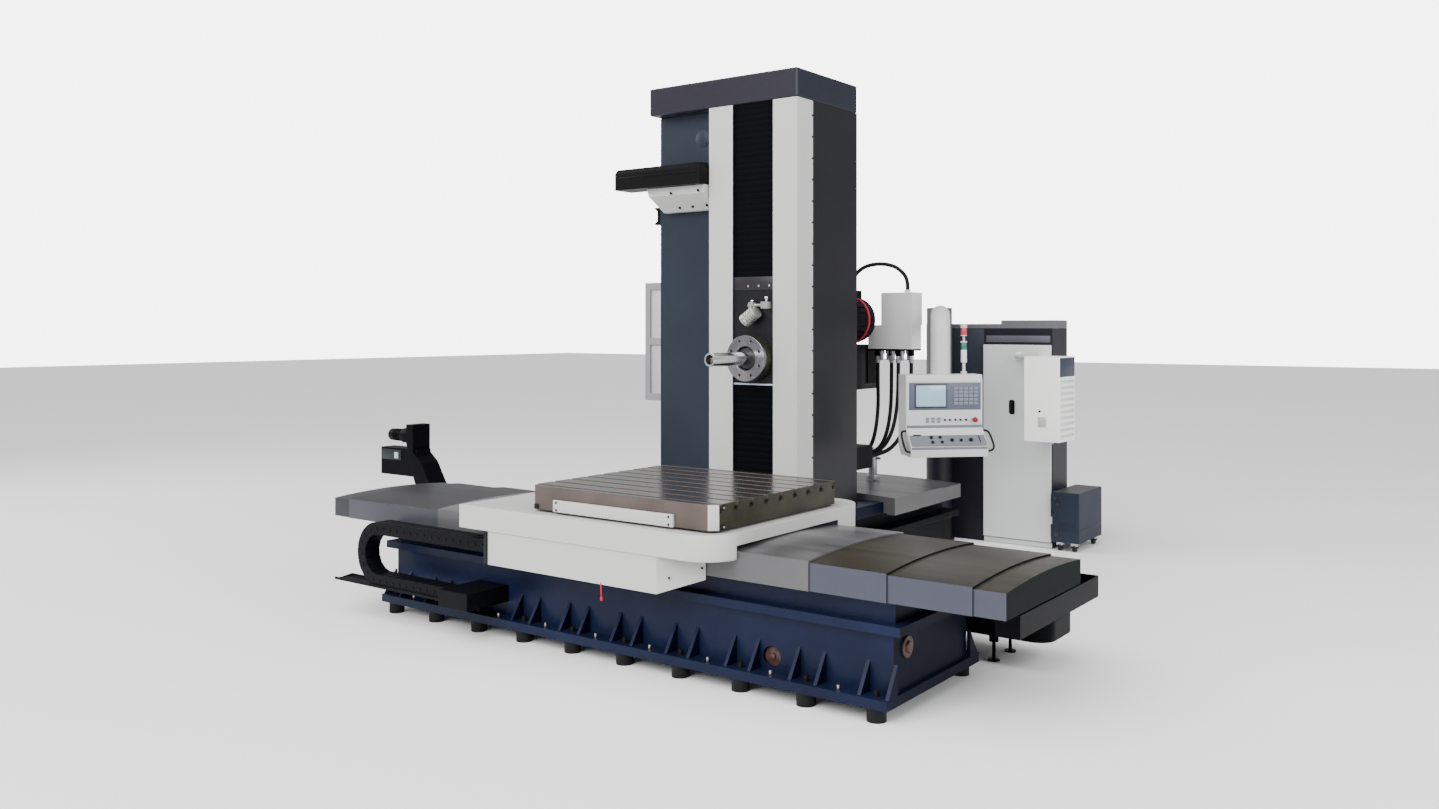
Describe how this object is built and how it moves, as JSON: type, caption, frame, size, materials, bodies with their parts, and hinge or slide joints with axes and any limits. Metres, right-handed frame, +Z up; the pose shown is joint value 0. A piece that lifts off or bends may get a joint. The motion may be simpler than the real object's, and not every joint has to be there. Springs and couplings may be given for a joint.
{
  "type": "horizontal boring mill",
  "caption": "Table-type horizontal boring mill: cross-travelling turning table, column with vertical headstock and boring bar, covers, control pendant, cabinet and chip conveyor.",
  "frame": {"origin": "middle of the floor area that the machine and its cabinet take up, at floor level", "axes": "+X along the table's travel, to the operator's right; +Y from the operator to the back, along the spindle; +Z up"},
  "size_m": [6.888, 6.17, 4.014],
  "materials": {
    "x_bed": "deep blue-grey machine paint, satin",
    "z_bed": "deep blue-grey machine paint, satin",
    "levelling_feet": "near-black paint, satin",
    "x_cover_saddle": "grey telescopic cover steel, worn satin",
    "x_cover_right_outer": "grey telescopic cover steel, worn satin",
    "x_cover_left_outer": "grey telescopic cover steel, worn satin",
    "x_cover_right_inner": "grey telescopic cover steel, worn satin",
    "x_cover_left_inner": "grey telescopic cover steel, worn satin",
    "x_cover_fixed": "grey telescopic cover steel, worn satin",
    "cover_arms": "near-black paint, satin",
    "saddle": "deep blue-grey machine paint, satin",
    "saddle_tray": "light grey-white sheet paint, satin",
    "saddle_skirt": "light grey-white sheet paint, satin",
    "table": "ground cast iron",
    "table_plate": "light grey-white sheet paint, satin",
    "column_slide": "deep blue-grey machine paint, satin",
    "column": "deep blue-grey machine paint, satin",
    "column_cap": "deep blue-grey machine paint, satin",
    "way_cover_left": "light grey-white sheet paint, satin",
    "way_cover_right": "light grey-white sheet paint, satin",
    "curtain_upper": "matt black",
    "curtain_lower": "matt black",
    "headstock": "near-black paint, satin",
    "spindle_housing": "ground bright steel",
    "spindle_sleeve": "ground bright steel",
    "boring_bar": "ground bright steel",
    "work_lamp": "light grey moulded",
    "spindle_motor": "near-black paint, satin",
    "junction_box": "light grey-white sheet paint, satin",
    "gland_bracket": "near-black paint, satin",
    "hose_terminal": "near-black paint, satin",
    "hose_1": "matt black",
    "hose_2": "matt black",
    "hose_3": "matt black",
    "hose_4": "matt black",
    "conduit": "matt black plastic",
    "z_cover": "grey telescopic cover steel, worn satin",
    "tool_rail": "near-black paint, satin",
    "tool_rail_bracket": "light grey-white sheet paint, satin",
    "side_hook": "near-black paint, satin",
    "guard_panel": "light grey-white sheet paint, satin",
    "cable_chain": "matt black plastic",
    "chain_tray": "near-black paint, satin",
    "chip_conveyor": "near-black paint, satin",
    "conveyor_drive": "near-black paint, satin",
    "conveyor_feet": "near-black paint, satin",
    "cabinet": "near-black paint, satin",
    "cabinet_door": "light grey-white sheet paint, satin",
    "cabinet_cooler": "light grey-white sheet paint, satin",
    "chiller": "deep blue-grey machine paint, satin",
    "chiller_castors": "matt black",
    "pendant_post": "light grey-white sheet paint, satin",
    "pendant_arm": "light grey-white sheet paint, satin",
    "pendant": "light grey panel paint",
    "signal_lamp": "light grey moulded",
    "chip_chute": "near-black paint, satin",
    "belt_tensioner": "near-black paint, satin",
    "cabinet_roof": "light grey-white sheet paint, satin",
    "door_handle": "matt black plastic",
    "pendant_controls": "matt black plastic"
  },
  "bodies": {
    "frame": {"x_bed": "x_bed", "z_bed": "z_bed", "levelling_feet": "levelling_feet", "x_cover_fixed": "x_cover_fixed", "cover_arms": "cover_arms", "column_slide": "column_slide", "column": "column", "column_cap": "column_cap", "way_cover_left": "way_cover_left", "way_cover_right": "way_cover_right", "curtain_upper": "curtain_upper", "curtain_lower": "curtain_lower", "hose_terminal": "hose_terminal", "hose_1": "hose_1", "hose_2": "hose_2", "hose_3": "hose_3", "hose_4": "hose_4", "z_cover": "z_cover", "tool_rail": "tool_rail", "tool_rail_bracket": "tool_rail_bracket", "side_hook": "side_hook", "guard_panel": "guard_panel", "cable_chain": "cable_chain", "chain_tray": "chain_tray", "chip_conveyor": "chip_conveyor", "conveyor_drive": "conveyor_drive", "conveyor_feet": "conveyor_feet", "cabinet": "cabinet", "chiller": "chiller", "chiller_castors": "chiller_castors", "pendant_post": "pendant_post", "chip_chute": "chip_chute", "belt_tensioner": "belt_tensioner", "cabinet_roof": "cabinet_roof"},
    "saddle": {"saddle": "saddle", "saddle_tray": "saddle_tray", "saddle_skirt": "saddle_skirt", "x_cover_saddle": "x_cover_saddle"},
    "cover_right_outer": {"x_cover_right_outer": "x_cover_right_outer"},
    "cover_right_inner": {"x_cover_right_inner": "x_cover_right_inner"},
    "cover_left_outer": {"x_cover_left_outer": "x_cover_left_outer"},
    "cover_left_inner": {"x_cover_left_inner": "x_cover_left_inner"},
    "table": {"table": "table", "table_plate": "table_plate"},
    "headstock": {"headstock": "headstock", "spindle_housing": "spindle_housing", "work_lamp": "work_lamp", "spindle_motor": "spindle_motor", "junction_box": "junction_box", "gland_bracket": "gland_bracket", "conduit": "conduit"},
    "sleeve": {"spindle_sleeve": "spindle_sleeve"},
    "bar": {"boring_bar": "boring_bar"},
    "pendant_arm": {"pendant_arm": "pendant_arm", "pendant": "pendant", "pendant_controls": "pendant_controls", "signal_lamp": "signal_lamp"},
    "door": {"cabinet_door": "cabinet_door", "door_handle": "door_handle", "cabinet_cooler": "cabinet_cooler"}
  },
  "joints": [
    {"name": "saddle_travel", "type": "slide", "parent": "frame", "child": "saddle", "axis": [1, 0, 0], "range_m": [-1, 0.9]},
    {"name": "cover_right_outer_slide", "type": "slide", "parent": "frame", "child": "cover_right_outer", "axis": [1, 0, 0], "range_m": [-0.581, 0.523]},
    {"name": "cover_right_inner_slide", "type": "slide", "parent": "frame", "child": "cover_right_inner", "axis": [1, 0, 0], "range_m": [-0.151, 0.136]},
    {"name": "cover_left_outer_slide", "type": "slide", "parent": "frame", "child": "cover_left_outer", "axis": [1, 0, 0], "range_m": [-0.581, 0.523]},
    {"name": "cover_left_inner_slide", "type": "slide", "parent": "frame", "child": "cover_left_inner", "axis": [1, 0, 0], "range_m": [-0.151, 0.136]},
    {"name": "table_swivel", "type": "hinge", "parent": "saddle", "child": "table", "pos_m": [0.982, -2.244, 0.94], "axis": [0, 0, 1], "continuous": true},
    {"name": "headstock_travel", "type": "slide", "parent": "frame", "child": "headstock", "axis": [0, 0, 1], "range_m": [-0.6, 1.15], "deforming": ["curtain_upper", "curtain_lower", "hose_1", "hose_2", "hose_3", "hose_4"]},
    {"name": "spindle_rotation", "type": "hinge", "parent": "headstock", "child": "sleeve", "pos_m": [0.8, -1.311, 1.893], "axis": [0, 1, 0], "continuous": true},
    {"name": "bar_travel", "type": "slide", "parent": "sleeve", "child": "bar", "axis": [0, 1, 0], "range_m": [-0.2, 0.42]},
    {"name": "pendant_swing", "type": "hinge", "parent": "frame", "child": "pendant_arm", "pos_m": [0.582, 2.379, 2.14], "axis": [0, 0, 1], "range_deg": [0, 50]},
    {"name": "cabinet_door_hinge", "type": "hinge", "parent": "frame", "child": "door", "pos_m": [1.698, 2.5137, 1.005], "axis": [0, 0, 1], "range_deg": [0, 85]}
  ],
  "couplings": [
    {"joint": "cover_right_outer_slide", "follows": "saddle_travel", "ratio": 0.58},
    {"joint": "cover_right_inner_slide", "follows": "saddle_travel", "ratio": 0.15},
    {"joint": "cover_left_outer_slide", "follows": "saddle_travel", "ratio": 0.58},
    {"joint": "cover_left_inner_slide", "follows": "saddle_travel", "ratio": 0.15}
  ]
}
